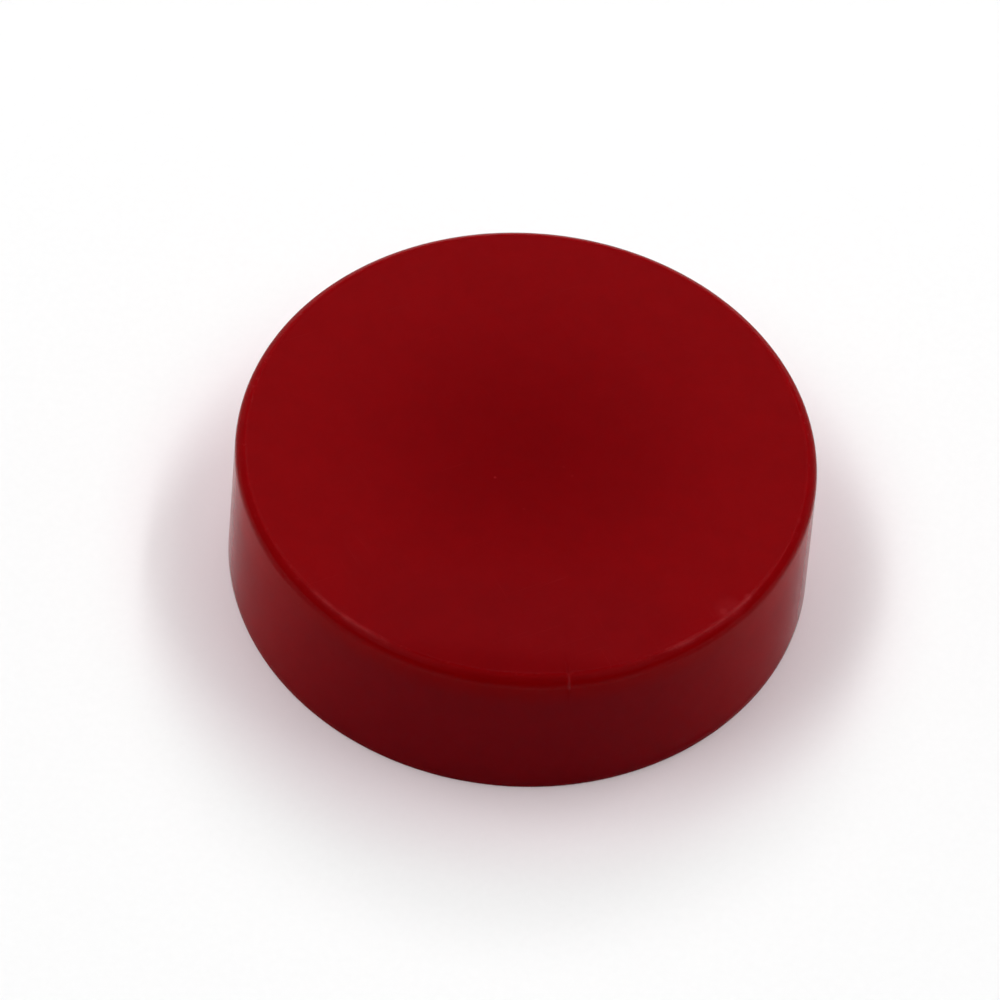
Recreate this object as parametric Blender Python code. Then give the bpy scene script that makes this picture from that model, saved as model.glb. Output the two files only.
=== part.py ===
"""A two-inch dealer button: a moulded red cup with a steel slug inside, closed by a flush base plate.

Metres, +Z up. The origin is the centre of the underside, and the button is round about Z.
"""

import math

import bmesh
import bpy

MM = 0.001

# Outside
BASE_RADIUS = 25.4 * MM
HEIGHT = 14.6 * MM
EDGE_RADIUS = 1.2 * MM
DRAFT = math.radians(1.0)

# Cup
WALL = 2.2 * MM
TOP_THICKNESS = 2.4 * MM
CORNER_RADIUS = 0.8 * MM
RIM_WIDTH = 1.1 * MM

# Fits
GAP = 0.3 * MM
OVERLAP = 0.2 * MM

# Base plate
PLATE_THICKNESS = 2.0 * MM
PLATE_BREAK = 0.2 * MM
RING_WIDTH = 1.6 * MM
RING_HEIGHT = 1.6 * MM
REST_HEIGHT = 1.0 * MM
REST_INNER_RADIUS = 6.0 * MM

# Ribs, in the cup and on the plate
RIB_COUNT = 6
RIB_THICKNESS = 1.2 * MM

# Steel slug and foam pad
SLUG_RADIUS = 20.0 * MM
SLUG_THICKNESS = 4.0 * MM
SLUG_BREAK = 0.4 * MM
PAD_RADIUS = 18.0 * MM

SEGMENTS = 96
ARC_STEPS = 5
WELD = 0.000001

# Heights and radii that follow from those above
LEDGE_Z = PLATE_THICKNESS + GAP
CEILING_Z = HEIGHT - TOP_THICKNESS
REBATE_RADIUS = BASE_RADIUS - RIM_WIDTH
PLATE_RADIUS = REBATE_RADIUS - GAP
RING_TOP_Z = PLATE_THICKNESS + RING_HEIGHT
SLUG_Z = PLATE_THICKNESS + REST_HEIGHT + GAP
PAD_Z = SLUG_Z + SLUG_THICKNESS + GAP
PAD_THICKNESS = CEILING_Z - GAP - PAD_Z


def outer_radius(z):
    """The drafted side wall's radius at height z."""
    return BASE_RADIUS - z * math.tan(DRAFT)


def cavity_radius(z):
    """The cup's inner wall, parallel to the outer one."""
    return outer_radius(z) - WALL


def drafted_corner(radius_at_base, top_z, corner):
    """Points of the round between a flat top at top_z and a wall with the cup's draft, from top to wall."""
    centre_z = top_z - corner
    centre_r = radius_at_base - (corner + math.sin(DRAFT) * centre_z) / math.cos(DRAFT)
    points = []
    for step in range(ARC_STEPS + 1):
        angle = math.pi / 2 + (DRAFT - math.pi / 2) * step / ARC_STEPS
        points.append((centre_r + corner * math.cos(angle), centre_z + corner * math.sin(angle)))
    return points


def clear_scene():
    for thing in list(bpy.data.objects):
        bpy.data.objects.remove(thing, do_unlink=True)


def plain_material(name, color, roughness, metallic=0.0):
    material = bpy.data.materials.new(name)
    material.use_nodes = True
    shader = material.node_tree.nodes["Principled BSDF"]
    shader.inputs["Base Color"].default_value = (*color, 1.0)
    shader.inputs["Roughness"].default_value = roughness
    shader.inputs["Metallic"].default_value = metallic
    return material


def add_object(name, mesh, material=None):
    thing = bpy.data.objects.new(name, mesh)
    bpy.context.scene.collection.objects.link(thing)
    if material:
        mesh.materials.append(material)
    return thing


def turned(name, outline, material):
    """A solid of revolution about Z. The outline is (radius, z) points, closed along the axis."""
    shape = bmesh.new()
    points = [shape.verts.new((r, 0.0, z)) for r, z in outline]
    edges = [shape.edges.new(pair) for pair in zip(points, points[1:])]
    bmesh.ops.spin(
        shape,
        geom=points + edges,
        cent=(0, 0, 0),
        axis=(0, 0, 1),
        angle=2 * math.pi,
        steps=SEGMENTS,
        use_merge=True,
    )
    bmesh.ops.remove_doubles(shape, verts=shape.verts, dist=WELD)
    bmesh.ops.recalc_face_normals(shape, faces=shape.faces)
    mesh = bpy.data.meshes.new(name)
    shape.to_mesh(mesh)
    shape.free()
    mesh.shade_smooth()
    mesh.set_sharp_from_angle(angle=math.radians(30))
    return add_object(name, mesh, material)


def rib_cage(name, inner, outer, low, high, skew=0.0):
    """A helper mesh: a ring of radial ribs as boxes, one at each place, to be joined to a piece."""
    shape = bmesh.new()
    for number in range(RIB_COUNT):
        angle = skew + 2 * math.pi * number / RIB_COUNT
        along = (math.cos(angle), math.sin(angle))
        corners = []
        for z in (low, high):
            for radius, side in ((inner, -1), (outer, -1), (outer, 1), (inner, 1)):
                across = side * RIB_THICKNESS / 2
                x = along[0] * radius - along[1] * across
                y = along[1] * radius + along[0] * across
                corners.append(shape.verts.new((x, y, z)))
        bottom, top = corners[:4], corners[4:]
        shape.faces.new(bottom[::-1])
        shape.faces.new(top)
        for here in range(4):
            after = (here + 1) % 4
            shape.faces.new((bottom[here], bottom[after], top[after], top[here]))
    mesh = bpy.data.meshes.new(name)
    shape.to_mesh(mesh)
    shape.free()
    helper = add_object(name, mesh)
    helper.hide_render = True
    helper.display_type = "WIRE"
    return helper


def join_ribs(piece, ribs):
    modifier = piece.modifiers.new("ribs", "BOOLEAN")
    modifier.operation = "UNION"
    modifier.solver = "EXACT"
    modifier.object = ribs


def top_shell(red):
    """The cup: flat top, rounded upper edge, drafted wall, and a rebate behind the bottom rim."""
    outline = [(0.0, HEIGHT)]
    outline += drafted_corner(BASE_RADIUS, HEIGHT, EDGE_RADIUS)
    outline += [
        (BASE_RADIUS, 0.0),
        (REBATE_RADIUS, 0.0),
        (REBATE_RADIUS, LEDGE_Z),
        (cavity_radius(LEDGE_Z), LEDGE_Z),
    ]
    outline += reversed(drafted_corner(BASE_RADIUS - WALL, CEILING_Z, CORNER_RADIUS))
    outline.append((0.0, CEILING_Z))
    cup = turned("top_shell", outline, red)
    ribs = rib_cage(
        "top_shell_ribs",
        inner=SLUG_RADIUS + GAP,
        outer=cavity_radius(CEILING_Z) + WALL / 2,
        low=RING_TOP_Z + 2 * GAP,
        high=CEILING_Z + OVERLAP,
    )
    join_ribs(cup, ribs)


def base_plate(red):
    """The closing disc, flush with the rim, with a locating ring and the ribs that carry the slug."""
    ring_outer = cavity_radius(RING_TOP_Z) - GAP
    ring_inner = ring_outer - RING_WIDTH
    outline = [
        (0.0, PLATE_THICKNESS),
        (ring_inner, PLATE_THICKNESS),
        (ring_inner, RING_TOP_Z),
        (ring_outer, RING_TOP_Z),
        (ring_outer, PLATE_THICKNESS),
        (PLATE_RADIUS, PLATE_THICKNESS),
        (PLATE_RADIUS, PLATE_BREAK),
        (PLATE_RADIUS - PLATE_BREAK, 0.0),
        (0.0, 0.0),
    ]
    plate = turned("base_plate", outline, red)
    ribs = rib_cage(
        "base_plate_ribs",
        inner=REST_INNER_RADIUS,
        outer=ring_inner + RING_WIDTH / 2,
        low=PLATE_THICKNESS - OVERLAP,
        high=PLATE_THICKNESS + REST_HEIGHT,
        skew=math.pi / RIB_COUNT,
    )
    join_ribs(plate, ribs)


def weight_slug(steel):
    """A punched steel disc with both edges broken."""
    top_z = SLUG_Z + SLUG_THICKNESS
    flat_radius = SLUG_RADIUS - SLUG_BREAK
    outline = [
        (0.0, top_z),
        (flat_radius, top_z),
        (SLUG_RADIUS, top_z - SLUG_BREAK),
        (SLUG_RADIUS, SLUG_Z + SLUG_BREAK),
        (flat_radius, SLUG_Z),
        (0.0, SLUG_Z),
    ]
    turned("weight_slug", outline, steel)


def foam_pad(foam):
    """The die-cut disc that fills the height between the slug and the cup's ceiling."""
    top_z = PAD_Z + PAD_THICKNESS
    outline = [(0.0, top_z), (PAD_RADIUS, top_z), (PAD_RADIUS, PAD_Z), (0.0, PAD_Z)]
    turned("foam_pad", outline, foam)


def main():
    clear_scene()
    red = plain_material("red_plastic", (0.17, 0.003, 0.005), 0.22)
    steel = plain_material("steel", (0.55, 0.55, 0.56), 0.35, metallic=1.0)
    foam = plain_material("foam", (0.05, 0.05, 0.055), 0.9)
    top_shell(red)
    base_plate(red)
    weight_slug(steel)
    foam_pad(foam)


main()
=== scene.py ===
"""Looks for the dealer button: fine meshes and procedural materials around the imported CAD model."""

import math

import bmesh
import bpy
from mathutils import Matrix, Vector


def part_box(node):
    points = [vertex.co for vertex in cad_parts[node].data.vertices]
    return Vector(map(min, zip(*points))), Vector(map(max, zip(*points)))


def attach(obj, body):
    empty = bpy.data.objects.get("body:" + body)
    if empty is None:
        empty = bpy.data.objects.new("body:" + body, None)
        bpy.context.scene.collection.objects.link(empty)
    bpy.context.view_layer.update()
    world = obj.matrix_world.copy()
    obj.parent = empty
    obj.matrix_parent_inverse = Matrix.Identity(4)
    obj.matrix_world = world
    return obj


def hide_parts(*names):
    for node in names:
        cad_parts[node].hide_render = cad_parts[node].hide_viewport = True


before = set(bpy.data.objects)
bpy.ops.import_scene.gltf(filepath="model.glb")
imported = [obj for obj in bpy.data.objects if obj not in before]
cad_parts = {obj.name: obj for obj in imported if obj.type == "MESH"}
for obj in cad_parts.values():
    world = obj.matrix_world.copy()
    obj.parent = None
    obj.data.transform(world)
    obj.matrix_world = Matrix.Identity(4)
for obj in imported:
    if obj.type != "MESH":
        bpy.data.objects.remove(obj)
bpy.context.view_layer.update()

MM = 0.001

# Sizes read from the CAD nodes
SHELL_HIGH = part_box("top_shell")[1]
PLATE_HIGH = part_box("base_plate")[1]
SLUG_LOW, SLUG_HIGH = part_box("weight_slug")
PAD_LOW, PAD_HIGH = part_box("foam_pad")
BASE_RADIUS = SHELL_HIGH.x
HEIGHT = SHELL_HIGH.z
PLATE_RADIUS = PLATE_HIGH.x
RING_TOP_Z = PLATE_HIGH.z

# The cup, as the CAD model has it
DRAFT = math.radians(1.0)
WALL = 2.2 * MM
TOP_THICKNESS = 2.4 * MM
CORNER_RADIUS = 0.8 * MM
RIM_WIDTH = 1.1 * MM
PLATE_THICKNESS = 2.0 * MM
GAP = 0.3 * MM
LEDGE_Z = PLATE_THICKNESS + GAP
CEILING_Z = HEIGHT - TOP_THICKNESS

# The upper edge: a tight break at the flat top, a short slope, then the round that ends on the draft
FLAT_RADIUS = 24.16 * MM
EDGE_BREAK = 0.5 * MM
EDGE_SLOPE = 0.34 * MM
BREAK_TILT = math.radians(35)
FOOT_BREAK = 0.12 * MM

# Ribs and the locating ring
RIB_COUNT = 6
RIB_ROOT = 1.2 * MM
RIB_TIP = 1.0 * MM
RING_WIDTH = 1.6 * MM
REST_HEIGHT = 1.0 * MM
REST_INNER_RADIUS = 6.0 * MM
RIB_SINK = 0.2 * MM

# Handling marks on the upper edge and the top, and spots of painted highlight on the top. The nick is
# pressed in towards a core inside the edge, and fades in over a short way from it. A speck, or a spot of
# painted highlight, is x, y and size in millimetres, and strength.
NICK_AZIMUTH = math.radians(-77.7)
NICK_DEPTH = 0.07 * MM
NICK_WIDTH = 0.12 * MM
NICK_CORE_IN = 2.0 * MM
NICK_CORE_DOWN = 1.6 * MM
NICK_FADE_IN = 0.8 * MM
NICK_FADE_DOWN = 0.6 * MM
GLINTS_AND_SPECKS = (
    (-2.52, -3.44, 0.17, 0.8),
    (0.20, -6.60, 0.17, 0.25),
    (3.28, -1.60, 0.17, 0.25),
    (4.07, -2.51, 0.17, 0.3),
    # The last three are spots of painted highlight, where the right lamp glints on the top just inside the
    # edge.
    (17.8, -15.7, 0.45, 0.5),
    (19.8, -13.9, 0.45, 0.5),
    (18.3, -15.4, 1.6, 0.25),
)

# Camera: a long lens that looks down at the button, turned a little about its own axis
CAMERA_ELEVATION = math.radians(51.51)
CAMERA_ROLL = math.radians(5.11)
CAMERA_PAN = math.radians(0.1860)
CAMERA_DISTANCE = 600 * MM
CAMERA_TARGET_Z = 7.23 * MM
LENS = 248.3
SENSOR = 36.0

# The studio. A panel in its ceiling has a left, right, front and back side in ceiling heights, and a
# radiance. The low light at the sides comes from directions that face left or right and are not far up.
CEILING = 2.0
PANELS = {
    "left_strip": (-0.616, -0.436, -0.331, 0.379, 7.45),
    "right_strip": (0.49, 0.584, -0.171, 0.684, 14.5),
    "left_glow": (-0.85, -0.30, -0.70, 1.0, 2.51),
    "right_glow": (0.30, 0.85, -0.70, 1.0, 2.02),
    "back_near": (-0.54, 0.54, 0.62, 0.98, 1.51),
    "back_far": (-0.54, 0.54, 0.98, 1.40, 4.8),
}
ROOM_LIGHT = 0.05
SIDE_LIGHT = 1.8
SIDE_FACING = (0.2, 0.9)
SIDE_HEIGHTS = (0.02, 0.42)
SEEN_TONE = 0.9
FLOOR_SIZE = 8

# Mesh fineness: steps round the pieces, in an arc and across the nick, then the extra rings in plain faces
SEGMENTS = 384
ARC_STEPS = 8
NICK_STEPS = 14
FLAT_RINGS = (0.1, 0.25, 0.4, 0.55, 0.7, 0.85, 0.95)
FLAT_GUARD = 0.03 * MM
WALL_RINGS = (0.95, 0.8, 0.6, 0.4, 0.2, 0.05)
INNER_RINGS = (0.4, 0.7)
CEILING_RINGS = (20.0 * MM, 14.0 * MM, 7.0 * MM)
UNDERSIDE_RINGS = (16.0 * MM, 8.0 * MM)
SLUG_RINGS = (7.0 * MM, 14.0 * MM)
PAD_RINGS = (0.0, 0.2, 0.4, 0.6, 0.8, 0.92)
PAD_SIDE_RINGS = (0.2, 0.35, 0.5, 0.65, 0.8)


# Outlines, as (radius, z) points


def outer_radius(z):
    """The drafted side wall's radius at height z."""
    return BASE_RADIUS - z * math.tan(DRAFT)


def arc(centre, radius, start, end, steps=ARC_STEPS):
    """Points of an arc about (radius, z) centre. Angles run from +radius towards +z."""
    points = []
    for step in range(steps + 1):
        angle = start + (end - start) * step / steps
        points.append((centre[0] + radius * math.cos(angle), centre[1] + radius * math.sin(angle)))
    return points


def upper_edge():
    """From the flat top to the wall: the tight break, the slope, then the round down to the draft."""
    turn = math.pi / 2 - BREAK_TILT
    first = arc((FLAT_RADIUS, HEIGHT - EDGE_BREAK), EDGE_BREAK, math.pi / 2, turn)
    start_r = first[-1][0] + EDGE_SLOPE * math.sin(turn)
    start_z = first[-1][1] - EDGE_SLOPE * math.cos(turn)
    reach = (BASE_RADIUS - start_r) * math.cos(DRAFT) - start_z * math.sin(DRAFT)
    round_radius = reach / (1 - math.cos(turn - DRAFT))
    centre = (start_r - round_radius * math.cos(turn), start_z - round_radius * math.sin(turn))
    return first + arc(centre, round_radius, turn, DRAFT, 2 * ARC_STEPS)


def cavity_corner():
    """The round between the cup's ceiling and its inner wall, from ceiling to wall."""
    centre_z = CEILING_Z - CORNER_RADIUS
    inner_base = BASE_RADIUS - WALL
    centre_r = inner_base - (CORNER_RADIUS + math.sin(DRAFT) * centre_z) / math.cos(DRAFT)
    return arc((centre_r, centre_z), CORNER_RADIUS, math.pi / 2, DRAFT)


def shell_outline():
    """The cup: flat top, edge and wall outside, then the rebate, the inner wall and the ceiling."""
    edge = upper_edge()
    flat = edge[0][0]
    points = [(0.0, HEIGHT)]
    points += [(flat * part, HEIGHT) for part in FLAT_RINGS]
    points.append((flat - FLAT_GUARD, HEIGHT))
    points += edge
    wall_top = edge[-1][1]
    for part in WALL_RINGS:
        points.append((outer_radius(wall_top * part), wall_top * part))
    points.append((outer_radius(FOOT_BREAK), FOOT_BREAK))
    points.append((BASE_RADIUS - 0.3 * FOOT_BREAK, 0.3 * FOOT_BREAK))
    points.append((BASE_RADIUS - FOOT_BREAK, 0.0))
    rebate = BASE_RADIUS - RIM_WIDTH
    points += [(rebate + FOOT_BREAK, 0.0), (rebate, FOOT_BREAK), (rebate, LEDGE_Z)]
    points.append((outer_radius(LEDGE_Z) - WALL, LEDGE_Z))
    points += [(outer_radius(part * CEILING_Z) - WALL, part * CEILING_Z) for part in INNER_RINGS]
    points += reversed(cavity_corner())
    points += [(radius, CEILING_Z) for radius in CEILING_RINGS]
    points.append((0.0, CEILING_Z))
    return points


def plate_outline():
    """The base plate: a disc with a locating ring on it, soft at every edge."""
    ring_outer = outer_radius(RING_TOP_Z) - WALL - GAP
    ring_inner = ring_outer - RING_WIDTH
    soft = 0.3 * MM
    under = 0.15 * MM
    points = [(0.0, PLATE_THICKNESS), (REST_INNER_RADIUS, PLATE_THICKNESS)]
    points += arc((ring_inner - soft, PLATE_THICKNESS + soft), soft, -math.pi / 2, 0.0, 4)
    points += reversed(arc((ring_inner + soft, RING_TOP_Z - soft), soft, math.pi / 2, math.pi, 4))
    points += arc((ring_outer - soft, RING_TOP_Z - soft), soft, math.pi / 2, 0.0, 4)
    points += [(ring_outer, PLATE_THICKNESS), (PLATE_RADIUS - under, PLATE_THICKNESS)]
    points += [(PLATE_RADIUS, PLATE_THICKNESS - under), (PLATE_RADIUS, under)]
    points.append((PLATE_RADIUS - under, 0.0))
    points += [(radius, 0.0) for radius in UNDERSIDE_RINGS]
    points.append((0.0, 0.0))
    return points


def slug_outline():
    """A punched disc: die roll on the upper edge, a burnished band, then the rougher, smaller break."""
    roll = 0.5 * MM
    burr = 0.12 * MM
    land = 0.06 * MM
    land_drop = 0.15 * MM
    burnished_from = 0.62
    radius = SLUG_HIGH.x
    top, foot = SLUG_HIGH.z, SLUG_LOW.z
    middle = foot + burnished_from * (top - foot)
    points = [(0.0, top)]
    points += [(ring, top) for ring in SLUG_RINGS]
    points += arc((radius - roll, top - roll), roll, math.pi / 2, 0.0)
    points += [(radius, middle), (radius - land, middle - land_drop), (radius - land, foot + burr)]
    points.append((radius - land - 0.5 * burr, foot))
    points += [(ring, foot) for ring in reversed(SLUG_RINGS)]
    points.append((0.0, foot))
    return points


def pad_outline():
    """A die-cut foam disc: soft edges, and a side that pulls in where the cutter squeezed it."""
    soft = 0.35 * MM
    waist = 0.25 * MM
    play = 0.05 * MM
    wave_room = 0.1 * MM
    radius = PAD_HIGH.x - play
    top, foot = PAD_HIGH.z - wave_room, PAD_LOW.z + wave_room
    points = [(radius * part, top) for part in PAD_RINGS]
    points += arc((radius - soft, top - soft), soft, math.pi / 2, 0.0, 5)
    for part in PAD_SIDE_RINGS:
        z = top - soft + (foot - top + 2 * soft) * part
        points.append((radius - waist * math.sin(math.pi * part), z))
    points += arc((radius - soft, foot + soft), soft, 0.0, -math.pi / 2, 5)
    points += [(radius * part, foot) for part in reversed(PAD_RINGS)]
    return points


# Meshes


def even_azimuths(count):
    return [2 * math.pi * number / count for number in range(count)]


def shell_azimuths():
    """Even steps round the cup, with finer ones across the nick."""
    fine_step = 0.25 * NICK_WIDTH / BASE_RADIUS
    steps = range(-NICK_STEPS, NICK_STEPS + 1)
    fine = [NICK_AZIMUTH % (2 * math.pi) + fine_step * number for number in steps]
    before, after = fine[0] - fine_step, fine[-1] + fine_step
    coarse = [azimuth for azimuth in even_azimuths(SEGMENTS) if azimuth < before or azimuth > after]
    return sorted(coarse + fine)


def add_mesh(name, shape):
    mesh = bpy.data.meshes.new(name)
    shape.to_mesh(mesh)
    shape.free()
    thing = bpy.data.objects.new(name, mesh)
    bpy.context.scene.collection.objects.link(thing)
    return thing


def smooth(thing, angle=25):
    thing.data.shade_smooth()
    thing.data.set_sharp_from_angle(angle=math.radians(angle))


def turned(name, outline, azimuths):
    """A closed solid of revolution about Z, from an outline that starts and ends on the axis."""
    shape = bmesh.new()
    rings = []
    for radius, z in outline:
        turns = azimuths if radius > 0 else azimuths[:1]
        rings.append([shape.verts.new((radius * math.cos(a), radius * math.sin(a), z)) for a in turns])
    for above, below in zip(rings, rings[1:]):
        for here in range(len(azimuths)):
            after = (here + 1) % len(azimuths)
            corners = (
                above[here % len(above)],
                below[here % len(below)],
                below[after % len(below)],
                above[after % len(above)],
            )
            shape.faces.new(list(dict.fromkeys(corners)))
    return add_mesh(name, shape)


def rib_bars(name, inner, outer, section, skew=0.0):
    """A ring of radial bars. The section is (across, z) points, anticlockwise seen from outside."""
    shape = bmesh.new()
    for number in range(RIB_COUNT):
        angle = skew + 2 * math.pi * number / RIB_COUNT
        c, s = math.cos(angle), math.sin(angle)
        ends = []
        for radius in (inner, outer):
            ring = [shape.verts.new((c * radius - s * a, s * radius + c * a, z)) for a, z in section]
            ends.append(ring)
        near, far = ends
        shape.faces.new(near[::-1])
        shape.faces.new(far)
        for here in range(len(section)):
            after = (here + 1) % len(section)
            shape.faces.new((near[here], near[after], far[after], far[here]))
    bmesh.ops.recalc_face_normals(shape, faces=shape.faces)
    return add_mesh(name, shape)


def rib_section(root_z, tip_z):
    """A drafted rib with a rounded tip: wide at root_z, narrower at tip_z."""
    root, tip = RIB_ROOT / 2, RIB_TIP / 2
    way = 1 if tip_z > root_z else -1
    nose = arc((0.0, 0.0), tip, 0.0, math.pi, 6)
    points = [(-root, root_z), (root, root_z)]
    points += [(across, tip_z + way * (0.5 * rise - 0.5 * tip)) for across, rise in nose]
    return points


def join(piece, helper):
    """Joins the helper to the piece with an exact Boolean, applied to the piece's mesh."""
    modifier = piece.modifiers.new("join", "BOOLEAN")
    modifier.operation = "UNION"
    modifier.solver = "EXACT"
    modifier.object = helper
    bpy.context.view_layer.update()
    evaluated = piece.evaluated_get(bpy.context.evaluated_depsgraph_get())
    joined = bpy.data.meshes.new_from_object(evaluated)
    piece.modifiers.clear()
    piece.data = joined
    bpy.data.objects.remove(helper, do_unlink=True)


def dent_edge(shell):
    """Presses the nick into the upper edge, towards the middle of its round."""
    core_r, core_z = BASE_RADIUS - NICK_CORE_IN, HEIGHT - NICK_CORE_DOWN
    for vert in shell.data.vertices:
        radius = math.hypot(vert.co.x, vert.co.y)
        if radius < core_r or vert.co.z < core_z:
            continue
        turn = math.atan2(vert.co.y, vert.co.x) - NICK_AZIMUTH
        across = radius * math.remainder(turn, 2 * math.pi) / NICK_WIDTH
        outwards = min(1.0, (radius - core_r) / NICK_FADE_IN)
        upwards = min(1.0, (vert.co.z - core_z) / NICK_FADE_DOWN)
        depth = NICK_DEPTH * math.exp(-across * across) * outwards * upwards
        inward = Vector((core_r - radius, core_z - vert.co.z)).normalized() * depth
        scale = (radius + inward[0]) / radius
        vert.co.x *= scale
        vert.co.y *= scale
        vert.co.z += inward[1]


def soften_pad(pad):
    """Gives the foam's faces the slight waves of a die-cut sheet, and its side three faint lobes."""
    wave_height = 0.05 * MM
    lobe_depth = 0.0015
    shrink = 0.998
    middle = (PAD_LOW.z + PAD_HIGH.z) / 2
    half = (PAD_HIGH.z - PAD_LOW.z) / 2
    for vert in pad.data.vertices:
        x, y = vert.co.x / MM, vert.co.y / MM
        wave = math.sin(0.31 * x + 1.3) * math.sin(0.27 * y - 0.4) + 0.5 * math.sin(0.83 * x - 0.61 * y)
        side = (vert.co.z - middle) / half
        vert.co.z += wave_height * wave * side
        lobes = 1 + lobe_depth * math.sin(3 * math.atan2(y, x) + 0.7)
        vert.co.x *= lobes * shrink
        vert.co.y *= lobes * shrink


# Node materials


class Nodes:
    """A node tree, with short calls for the nodes used here."""

    def __init__(self, tree):
        self.tree = tree

    def put(self, kind, inputs, **settings):
        node = self.tree.nodes.new(kind)
        for key, value in settings.items():
            setattr(node, key, value)
        for key, value in inputs.items():
            if isinstance(value, bpy.types.NodeSocket):
                self.tree.links.new(value, node.inputs[key])
            else:
                node.inputs[key].default_value = value
        return node

    def vector(self, operation, first, second=(0.0, 0.0, 0.0), scale=1.0):
        inputs = {0: first, "Scale": scale} if operation == "SCALE" else {0: first, 1: second}
        return self.put("ShaderNodeVectorMath", inputs, operation=operation).outputs[0]

    def maths(self, operation, first, second=0.0):
        return self.put("ShaderNodeMath", {0: first, 1: second}, operation=operation).outputs[0]

    def product(self, *values):
        result = values[0]
        for value in values[1:]:
            result = self.maths("MULTIPLY", result, value)
        return result

    def span(self, value, low, high, to_low=0.0, to_high=1.0):
        """Takes low..high to to_low..to_high, smoothly, and holds beyond both ends."""
        inputs = {"Value": value, "From Min": low, "From Max": high, "To Min": to_low, "To Max": to_high}
        return self.put("ShaderNodeMapRange", inputs, interpolation_type="SMOOTHSTEP").outputs["Result"]

    def band(self, value, start, full, fade, end):
        """One between full and fade, zero before start and after end."""
        return self.product(self.span(value, start, full), self.span(value, fade, end, 1.0, 0.0))

    def mix(self, factor, first, second, blend="MIX"):
        inputs = {0: factor, 6: first, 7: second}
        return self.put("ShaderNodeMix", inputs, data_type="RGBA", blend_type=blend).outputs[2]


class Graph(Nodes):
    """A material's nodes. Lengths inside it are millimetres on the object."""

    def __init__(self, name):
        self.material = bpy.data.materials.new(name)
        self.material.use_nodes = True
        super().__init__(self.material.node_tree)
        self.shader = self.tree.nodes["Principled BSDF"]
        coordinates = self.put("ShaderNodeTexCoord", {})
        self.place = self.vector("SCALE", coordinates.outputs["Object"], scale=1000.0)
        self.x, self.y, self.z = self.put("ShaderNodeSeparateXYZ", {0: self.place}).outputs
        flat = self.put("ShaderNodeCombineXYZ", {"X": self.x, "Y": self.y}).outputs[0]
        self.radius = self.put("ShaderNodeVectorMath", {0: flat}, operation="LENGTH").outputs["Value"]

    def width(self):
        """Distance to the left or right of the middle."""
        return self.maths("ABSOLUTE", self.x)

    def depth(self):
        """Distance below the flat top."""
        return self.maths("SUBTRACT", HEIGHT / MM, self.z)

    def set(self, **values):
        """Sets the shader's sockets. An underscore in a name stands for a space."""
        for key, value in values.items():
            socket = self.shader.inputs[key.replace("_", " ")]
            if isinstance(value, bpy.types.NodeSocket):
                self.tree.links.new(value, socket)
            else:
                socket.default_value = value

    def noise(self, scale, detail=3.0, roughness=0.5, place=None):
        place = place or self.place
        inputs = {"Vector": place, "Scale": scale, "Detail": detail, "Roughness": roughness}
        return self.put("ShaderNodeTexNoise", inputs).outputs["Fac"]

    def stretched(self, along, across, turn):
        """The place turned about Z and scaled, so that noise read from it lies in streaks along one way."""
        inputs = {"Vector": self.place, "Rotation": (0.0, 0.0, turn), "Scale": (along, across, across)}
        return self.put("ShaderNodeMapping", inputs, vector_type="TEXTURE").outputs[0]

    def bump(self, height, strength, distance, normal=None):
        inputs = {"Height": height, "Strength": strength, "Distance": distance}
        if normal:
            inputs["Normal"] = normal
        return self.put("ShaderNodeBump", inputs).outputs["Normal"]

    def dot(self, x, y, size):
        """One on a spot of the top, zero away from it."""
        offset = self.vector("SUBTRACT", self.place, (x, y, HEIGHT / MM))
        distance = self.put("ShaderNodeVectorMath", {0: offset}, operation="LENGTH").outputs["Value"]
        return self.span(distance, 0.4 * size, size, 1.0, 0.0)


# Most of a noise's values lie in this range
NOISE_RANGE = (0.3, 0.7)

STEEL_DARK = (0.50, 0.50, 0.51, 1)
STEEL_LIGHT = (0.60, 0.60, 0.61, 1)
STEEL_STAIN = (0.42, 0.40, 0.38, 1)
FOAM_CELL = (0.022, 0.022, 0.025, 1)
FOAM_WALL = (0.075, 0.075, 0.082, 1)
PAPER_DARK = (0.857, 0.857, 0.857, 1)
PAPER_LIGHT = (0.867, 0.867, 0.867, 1)
# Painted red bounce light and a little painted shade on the paper next to the button
PAPER_RED_BOUNCE = (0.95, 0.80, 0.85, 1)
BOUNCE_RADII = (25.0, 38.0)
BOUNCE_SHARE = 0.6

# The red plastic's tones: painted shade in the top's middle and on the front of its rim, the rest of the
# top, painted shade on its front, painted light on the front of the edge's break, painted shade on the
# edge, painted light high on the flanks, the side wall, painted shade on the wall's front, and scuffs and
# painted highlights
RED_SHADED_CORE = (0.147, 0.0002, 0.0012, 1)
RED_RIM = (0.194, 0.0014, 0.0026, 1)
RED_SHADED_TOP = (0.147, 0.0016, 0.0030, 1)
RED_LIT_BREAK = (0.200, 0.0022, 0.0035, 1)
RED_SHADED_EDGE = (0.180, 0.0002, 0.0011, 1)
RED_LIT_FLANK = (0.250, 0.0010, 0.0026, 1)
RED_SIDE = (0.190, 0.0010, 0.0026, 1)
RED_SHADED_WALL = (0.147, 0.0014, 0.0036, 1)
SCUFF_AND_HIGHLIGHT_RED = (0.245, 0.012, 0.015, 1)
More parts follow.
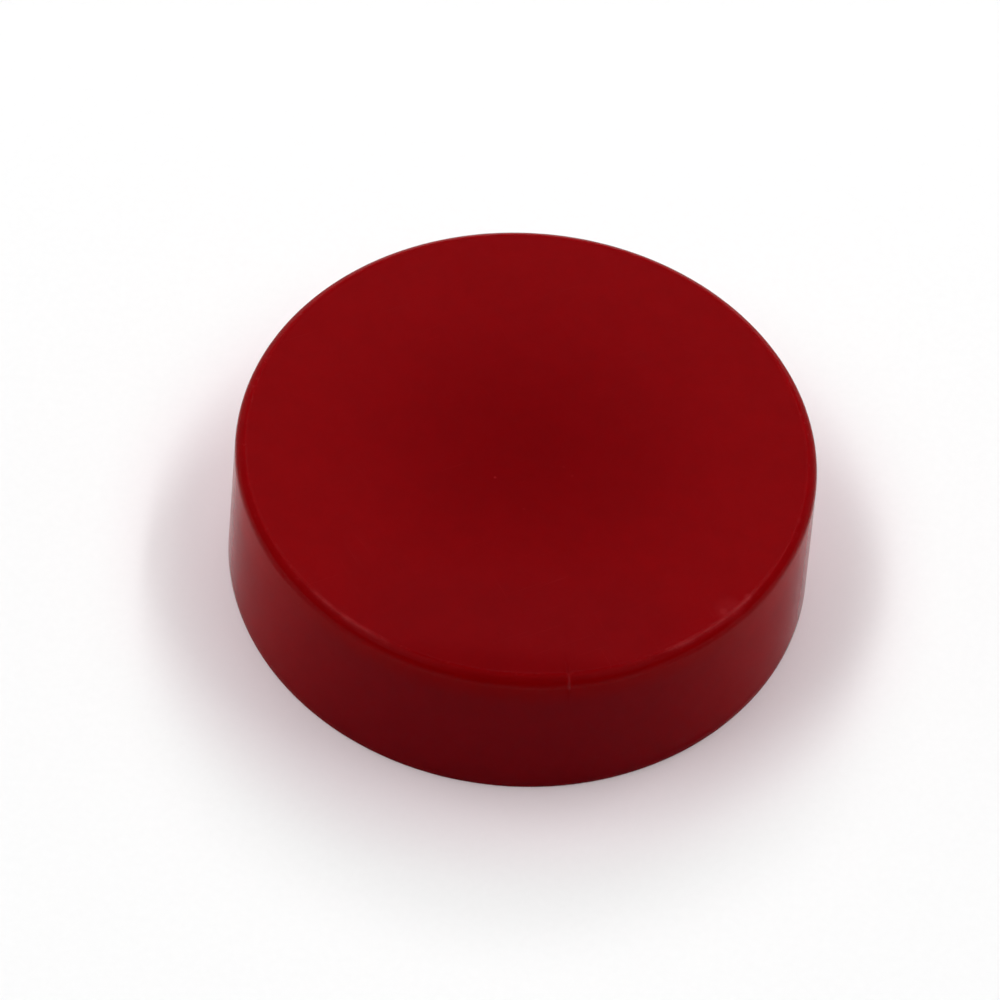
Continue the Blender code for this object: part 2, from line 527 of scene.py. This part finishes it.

# Where the red plastic changes, in millimetres: most of these place painted light and shade. Widths are to
# the left and right of the middle, depths are below the flat top, fronts are along Y. Two numbers run from
# nothing to full. Four numbers are the start, full, fade and end of a band.
CORE_RADII = (1.0, 22.0)
MIDDLE_WIDTHS = (20.0, 8.0)
TOP_SHADE_FRONT = (-10.0, -18.0)
RIM_SHADE_FRONT = (-21.0, -23.5)
EDGE_DEPTHS = (0.02, 0.5)
WALL_DEPTHS = (0.8, 3.6)
WALL_FRONT = (-12.0, -25.0)
HIGH_DEPTHS = (0.7, 1.1, 2.0, 5.5)
HIGH_WIDTHS = (17.0, 24.0)
EDGE_RADII = (24.05, 24.2, 24.5, 24.8)
OUTSIDE_DEPTHS = (1.0, 0.6)
# The next nine lines place the painted highlight on two stretches of the edge, the painted light on the
# front of the edge's break, and the painted highlight in the nick.
LEFT_HIGHLIGHT = (-17.5, -16.2, -11.0, -9.8)
RIGHT_HIGHLIGHT = (12.8, 14.3, 19.8, 20.8)
HIGHLIGHT_FRONT = (-11.5, -13.5)
HIGHLIGHT_RADII = (24.75, 24.35)
BREAK_RADII = (24.18, 24.44, 24.48, 24.8)
BREAK_FRONT = (-20.0, -23.0)
NICK_ACROSS = (0.17, 0.05)
NICK_FRONT = (-23.5, -24.0)
NICK_DEPTHS = (1.5, 1.0)
SHOULDER_DEPTHS = (0.15, 0.4, 0.9, 1.3)
SHOULDER_RADII = (24.4, 24.6)
FLANK_EDGE_DEPTHS = (0.5, 0.75, 0.8, 1.2)
FLANK_EDGE_WIDTHS = (20.0, 25.0)
FLANK_DEPTHS = (0.6, 1.0)
FLANK_WIDTHS = (23.4, 25.3)

# How much of each tone shows, how strong each gloss is, how rough the plastic is and what marks add to
# that, and the range of the mottle
TOP_SHADE_SHARE = 0.55
RIM_SHADE_SHARE = 0.85
LIT_FLANK_SHARE = 0.55
HAIRLINE_SHARE = 0.25
CHIP_SHARE = 0.3
LEFT_HIGHLIGHT_SHARE = 0.8
HIGHLIGHT_SHARE = 0.55
LIT_BREAK_SHARE = 0.63
NICK_HIGHLIGHT_SHARE = 0.5
HIGHLIGHT_GLOSS = 0.035
SHOULDER_GLOSS = 0.05
FLANK_EDGE_GLOSS = 0.30
FLANK_GLOSS = 0.13
PLASTIC_ROUGHNESS = (0.12, 0.16)
HAIRLINE_ROUGHNESS = 0.12
CHIP_ROUGHNESS = 0.2
CLOUD_TONES = (0.965, 1.03)
GRAIN_TONES = (-0.012, 0.012)


def scratches(graph, turn, threshold):
    """Sparse hairlines that run one way: one on a line, zero elsewhere."""
    streaks = graph.stretched(along=9.0, across=0.11, turn=turn)
    lines = graph.noise(1.0, detail=2.0, roughness=0.4, place=streaks)
    patches = graph.span(graph.noise(0.12, detail=1.0), 0.45, 0.62)
    return graph.product(graph.span(lines, threshold, threshold + 0.05), patches)


def red_tone(graph):
    """The colour by place, with cloudy mottle. Painted shade darkens the top's middle, its front and the
    front of its rim, the edge and the wall's front; painted light lifts the top towards its rim and the
    flanks high up.
    """
    width, depth = graph.width(), graph.depth()
    # Painted light and shade: the top darker in its middle and lighter towards its rim, where light comes
    # through the walls.
    color = graph.mix(graph.span(graph.radius, *CORE_RADII), RED_SHADED_CORE, RED_RIM)
    middle = graph.span(width, *MIDDLE_WIDTHS)
    # Painted shade on the front of the top.
    top_shade = graph.product(middle, graph.span(graph.y, *TOP_SHADE_FRONT, 0.0, TOP_SHADE_SHARE))
    color = graph.mix(top_shade, color, RED_SHADED_TOP)
    # Painted shade on the front of the top's rim.
    core = graph.product(middle, graph.span(graph.y, *RIM_SHADE_FRONT, 0.0, RIM_SHADE_SHARE))
    color = graph.mix(core, color, RED_SHADED_CORE)
    # Painted shade on the edge round.
    color = graph.mix(graph.span(depth, *EDGE_DEPTHS), color, RED_SHADED_EDGE)
    # Painted shade on the wall's front; the sides keep the wall's tone.
    wall = graph.mix(graph.span(graph.y, *WALL_FRONT), RED_SIDE, RED_SHADED_WALL)
    color = graph.mix(graph.span(depth, *WALL_DEPTHS), color, wall)
    # Painted light high on the flanks.
    high = graph.product(graph.band(depth, *HIGH_DEPTHS), graph.span(width, *HIGH_WIDTHS))
    color = graph.mix(graph.product(high, LIT_FLANK_SHARE), color, RED_LIT_FLANK)

    cloud = graph.span(graph.noise(0.45, roughness=0.55), *NOISE_RANGE, *CLOUD_TONES)
    grain = graph.span(graph.noise(2.6, detail=2.0, roughness=0.6), *NOISE_RANGE, *GRAIN_TONES)
    return graph.mix(1.0, color, graph.maths("ADD", cloud, grain), "MULTIPLY")


def highlight_stretches(graph, edge):
    """Painted highlight where the side lamps glint on the upper edge: one stretch left and one right of the
    front, patchy.
    """
    left = graph.product(graph.band(graph.x, *LEFT_HIGHLIGHT), LEFT_HIGHLIGHT_SHARE)
    right = graph.band(graph.x, *RIGHT_HIGHLIGHT)
    stretch = graph.maths("MAXIMUM", left, right)
    narrow = graph.span(graph.radius, *HIGHLIGHT_RADII)
    patchy = graph.span(graph.noise(0.9), 0.4, 0.6, 0.4, 1.0)
    return graph.product(edge, narrow, stretch, graph.span(graph.y, *HIGHLIGHT_FRONT), patchy)


def nick_highlight(graph):
    """Painted highlight: the pale line in the nick's bottom, where it catches a lamp."""
    side = (math.sin(NICK_AZIMUTH), -math.cos(NICK_AZIMUTH), 0.0)
    across = graph.put("ShaderNodeVectorMath", {0: graph.place, 1: side}, operation="DOT_PRODUCT")
    across = graph.maths("ABSOLUTE", across.outputs["Value"])
    front = graph.span(graph.y, *NICK_FRONT)
    high = graph.span(graph.depth(), *NICK_DEPTHS)
    return graph.product(graph.span(across, *NICK_ACROSS), front, high)


def red_gloss(graph, highlight_stretch):
    """The coat's weight: on the highlight stretches, the edge's lower shoulder and the flanks."""
    width, depth = graph.width(), graph.depth()
    shoulder = graph.band(depth, *SHOULDER_DEPTHS)
    shoulder = graph.product(shoulder, graph.span(graph.radius, *SHOULDER_RADII))
    flank_edge = graph.span(width, *FLANK_EDGE_WIDTHS, 0.0, FLANK_EDGE_GLOSS)
    flank = graph.span(width, *FLANK_WIDTHS, 0.0, FLANK_GLOSS)
    coat = graph.maths("ADD", graph.product(highlight_stretch, HIGHLIGHT_GLOSS), graph.product(shoulder, SHOULDER_GLOSS))
    coat = graph.maths("ADD", coat, graph.product(graph.band(depth, *FLANK_EDGE_DEPTHS), flank_edge))
    return graph.maths("ADD", coat, graph.product(graph.span(depth, *FLANK_DEPTHS), flank))


def red_plastic():
    """Glossy moulded ABS with hairlines, specks, a chipped edge and a nick, and painted light: painted
    highlights on two stretches of the edge, in the nick and on the top inside the edge, and a lighter front
    to the edge's break.
    """
    graph = Graph("red_plastic")
    outside = graph.span(graph.depth(), *OUTSIDE_DEPTHS)
    edge = graph.product(graph.band(graph.radius, *EDGE_RADII), outside)
    chips = graph.span(graph.noise(1.9, roughness=0.65), 0.56, 0.68)
    highlight_stretch = highlight_stretches(graph, edge)
    # Painted light on the front of the edge's break: a lighter band, as light as the lit top, with a faint
    # highlight.
    lit_front_break = graph.band(graph.radius, *BREAK_RADII)
    lit_front_break = graph.product(lit_front_break, outside, graph.span(graph.y, *BREAK_FRONT))
    lines = scratches(graph, turn=0.5, threshold=0.70)
    lines = graph.maths("MAXIMUM", lines, scratches(graph, turn=-0.9, threshold=0.715))
    lines = graph.maths("MAXIMUM", lines, scratches(graph, turn=2.1, threshold=0.72))

    color = graph.mix(graph.product(lines, HAIRLINE_SHARE), red_tone(graph), SCUFF_AND_HIGHLIGHT_RED)
    # Specks, and spots of painted highlight where the right lamp glints on the top just inside the edge.
    for x, y, size, strength in GLINTS_AND_SPECKS:
        color = graph.mix(graph.product(graph.dot(x, y, size), strength), color, SCUFF_AND_HIGHLIGHT_RED)
    color = graph.mix(graph.product(edge, chips, CHIP_SHARE), color, SCUFF_AND_HIGHLIGHT_RED)
    # Painted highlight on the two stretches of the edge where the side lamps glint.
    color = graph.mix(graph.product(highlight_stretch, HIGHLIGHT_SHARE), color, SCUFF_AND_HIGHLIGHT_RED)
    # Painted light on the front of the edge's break.
    color = graph.mix(graph.product(lit_front_break, LIT_BREAK_SHARE), color, RED_LIT_BREAK)
    # Painted highlight in the nick's bottom.
    color = graph.mix(graph.product(nick_highlight(graph), NICK_HIGHLIGHT_SHARE), color, SCUFF_AND_HIGHLIGHT_RED)

    rough = graph.span(graph.noise(0.8, detail=2.0), 0.35, 0.65, *PLASTIC_ROUGHNESS)
    rough = graph.maths("ADD", rough, graph.product(lines, HAIRLINE_ROUGHNESS))
    rough = graph.maths("ADD", rough, graph.product(edge, chips, CHIP_ROUGHNESS))

    ripple = graph.bump(graph.noise(0.25, detail=2.0), strength=0.25, distance=0.02 * MM)
    pits = graph.product(graph.noise(3.2, roughness=0.6), edge)
    pits = graph.maths("SUBTRACT", pits, graph.product(lines, 0.15))
    relief = graph.bump(pits, strength=0.7, distance=0.04 * MM, normal=ripple)

    graph.set(Base_Color=color, Roughness=rough, Normal=relief, IOR=1.49, Specular_IOR_Level=0.011)
    graph.set(Subsurface_Weight=0.7, Subsurface_Radius=(1.0, 0.12, 0.12), Subsurface_Scale=1.3 * MM)
    graph.set(Coat_Weight=red_gloss(graph, highlight_stretch), Coat_Roughness=0.2)
    return graph.material


def steel():
    """Cold-rolled sheet: fine rolling lines, faint stains and small dull patches."""
    graph = Graph("steel")
    streaks = graph.stretched(along=14.0, across=0.16, turn=0.2)
    rolling = graph.noise(1.0, detail=4.0, roughness=0.6, place=streaks)
    stains = graph.noise(0.16, roughness=0.6)
    color = graph.mix(graph.span(rolling, *NOISE_RANGE), STEEL_DARK, STEEL_LIGHT)
    color = graph.mix(graph.span(stains, 0.52, 0.72, 0.0, 0.5), color, STEEL_STAIN)
    lines_rough = graph.span(rolling, *NOISE_RANGE, 0.26, 0.38)
    stains_rough = graph.span(stains, 0.45, 0.7, 0.0, 0.14)
    rough = graph.maths("ADD", lines_rough, stains_rough)
    relief = graph.bump(rolling, strength=0.35, distance=0.02 * MM)
    graph.set(Base_Color=color, Roughness=rough, Normal=relief, Metallic=1.0)
    return graph.material


def foam():
    """Open-cell foam: small dark cells with lighter walls."""
    graph = Graph("foam")
    inputs = {"Vector": graph.place, "Scale": 2.4, "Randomness": 1.0}
    cells = graph.put("ShaderNodeTexVoronoi", inputs, feature="DISTANCE_TO_EDGE").outputs["Distance"]
    walls = graph.span(cells, 0.02, 0.22, 1.0, 0.0)
    shade = graph.noise(0.35, detail=2.0)
    color = graph.mix(walls, FOAM_CELL, FOAM_WALL)
    color = graph.mix(1.0, color, graph.span(shade, *NOISE_RANGE, 0.85, 1.12), "MULTIPLY")
    relief = graph.bump(walls, strength=0.9, distance=0.15 * MM)
    graph.set(Base_Color=color, Roughness=0.92, Normal=relief, Specular_IOR_Level=0.2)
    return graph.material


def paper():
    """Matt white sheet with a faint fibre texture, and painted red bounce light and a little painted shade
    next to the button.
    """
    graph = Graph("paper")
    fibre = graph.noise(1.4, detail=4.0, roughness=0.6)
    white = graph.mix(graph.span(fibre, *NOISE_RANGE), PAPER_DARK, PAPER_LIGHT)
    # Painted red bounce light and a little painted shade on the paper next to the button.
    red_bounce = graph.span(graph.radius, *BOUNCE_RADII, BOUNCE_SHARE, 0.0)
    color = graph.mix(red_bounce, white, PAPER_RED_BOUNCE)
    relief = graph.bump(fibre, strength=0.15, distance=0.03 * MM)
    graph.set(Base_Color=color, Roughness=0.9, Normal=relief, Specular_IOR_Level=0.0)
    return graph.material


# Pieces


def finish_piece(piece, material, slot, *replaced):
    """Gives the piece its material, parents it to the body it rides on, and hides the CAD nodes it stands
    for.
    """
    piece.data.materials.clear()
    piece.data.materials.append(material)
    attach(piece, "root")
    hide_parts(*replaced)
    return piece


def make_shell(material):
    shell = turned("button_shell", shell_outline(), shell_azimuths())
    ribs = rib_bars(
        "shell_ribs",
        inner=SLUG_HIGH.x + GAP,
        outer=outer_radius(CEILING_Z) - WALL / 2,
        section=rib_section(CEILING_Z + RIB_SINK, RING_TOP_Z + 2 * GAP),
    )
    join(shell, ribs)
    dent_edge(shell)
    smooth(shell)
    return finish_piece(shell, material, "red_plastic", "top_shell")


def make_base(material):
    base = turned("button_base", plate_outline(), even_azimuths(SEGMENTS // 2))
    ring_inner = outer_radius(RING_TOP_Z) - WALL - GAP - RING_WIDTH
    ribs = rib_bars(
        "base_ribs",
        inner=REST_INNER_RADIUS,
        outer=ring_inner + RING_WIDTH / 2,
        section=rib_section(PLATE_THICKNESS - RIB_SINK, PLATE_THICKNESS + REST_HEIGHT),
        skew=math.pi / RIB_COUNT,
    )
    join(base, ribs)
    smooth(base)
    return finish_piece(base, material, "red_plastic", "base_plate")


def make_slug(material):
    slug = turned("steel_slug", slug_outline(), even_azimuths(SEGMENTS // 2))
    smooth(slug)
    return finish_piece(slug, material, "steel", "weight_slug")


def make_pad(material):
    pad = turned("foam_disc", pad_outline(), even_azimuths(SEGMENTS // 2))
    soften_pad(pad)
    smooth(pad, 60)
    finish_piece(pad, material, "foam", "foam_pad")
    return pad


# Studio


def make_floor():
    bpy.ops.mesh.primitive_plane_add(size=FLOOR_SIZE, location=(0, 0, 0))
    floor = bpy.context.object
    floor.name = "floor"
    floor.data.materials.append(paper())


def make_camera():
    data = bpy.data.cameras.new("camera")
    data.lens = LENS
    data.sensor_width = SENSOR
    data.clip_start = 0.05
    data.clip_end = 20
    camera = bpy.data.objects.new("camera", data)
    bpy.context.scene.collection.objects.link(camera)
    target = Vector((0, 0, CAMERA_TARGET_Z))
    away = Vector((0, -math.cos(CAMERA_ELEVATION), math.sin(CAMERA_ELEVATION)))
    look = Matrix.Rotation(math.pi / 2 - CAMERA_ELEVATION, 4, "X")
    pan = Matrix.Rotation(CAMERA_PAN, 4, "Y")
    roll = Matrix.Rotation(CAMERA_ROLL, 4, "Z")
    camera.matrix_world = Matrix.Translation(target + away * CAMERA_DISTANCE) @ look @ pan @ roll
    bpy.context.scene.camera = camera


def ceiling_panel(name, left, right, front, back, radiance):
    """A flat panel in the studio's ceiling, facing down. Its sides are in ceiling heights."""
    data = bpy.data.lights.new(name, "AREA")
    data.shape = "RECTANGLE"
    data.size = (right - left) * CEILING
    data.size_y = (back - front) * CEILING
    data.energy = radiance * math.pi * data.size * data.size_y
    light = bpy.data.objects.new(name, data)
    bpy.context.scene.collection.objects.link(light)
    light.location = ((left + right) / 2 * CEILING, (front + back) / 2 * CEILING, CEILING)
    light.visible_camera = False


def make_lights():
    for name, (left, right, front, back, radiance) in PANELS.items():
        ceiling_panel(name, left, right, front, back, radiance)


def make_world():
    """A dim room, lighter low down at its left and right. The camera itself sees a plain pale tone."""
    world = bpy.data.worlds.new("studio")
    world.use_nodes = True
    graph = Nodes(world.node_tree)
    direction = graph.put("ShaderNodeTexCoord", {}).outputs["Generated"]
    x, y, z = graph.put("ShaderNodeSeparateXYZ", {0: direction}).outputs
    sides = graph.span(graph.product(x, x), *SIDE_FACING)
    low = graph.span(z, *SIDE_HEIGHTS, SIDE_LIGHT, 0.0)
    room = graph.maths("ADD", graph.product(sides, low), ROOM_LIGHT)
    camera_ray = graph.put("ShaderNodeLightPath", {}).outputs["Is Camera Ray"]
    light = graph.maths("MAXIMUM", room, graph.product(camera_ray, SEEN_TONE))
    background = world.node_tree.nodes["Background"]
    background.inputs["Color"].default_value = (1, 1, 1, 1)
    world.node_tree.links.new(light, background.inputs["Strength"])
    bpy.context.scene.world = world


make_camera()
make_floor()
red = red_plastic()
make_shell(red)
make_base(red)
make_slug(steel())
make_pad(foam())
make_world()
make_lights()
bpy.context.scene.view_settings.view_transform = "Standard"
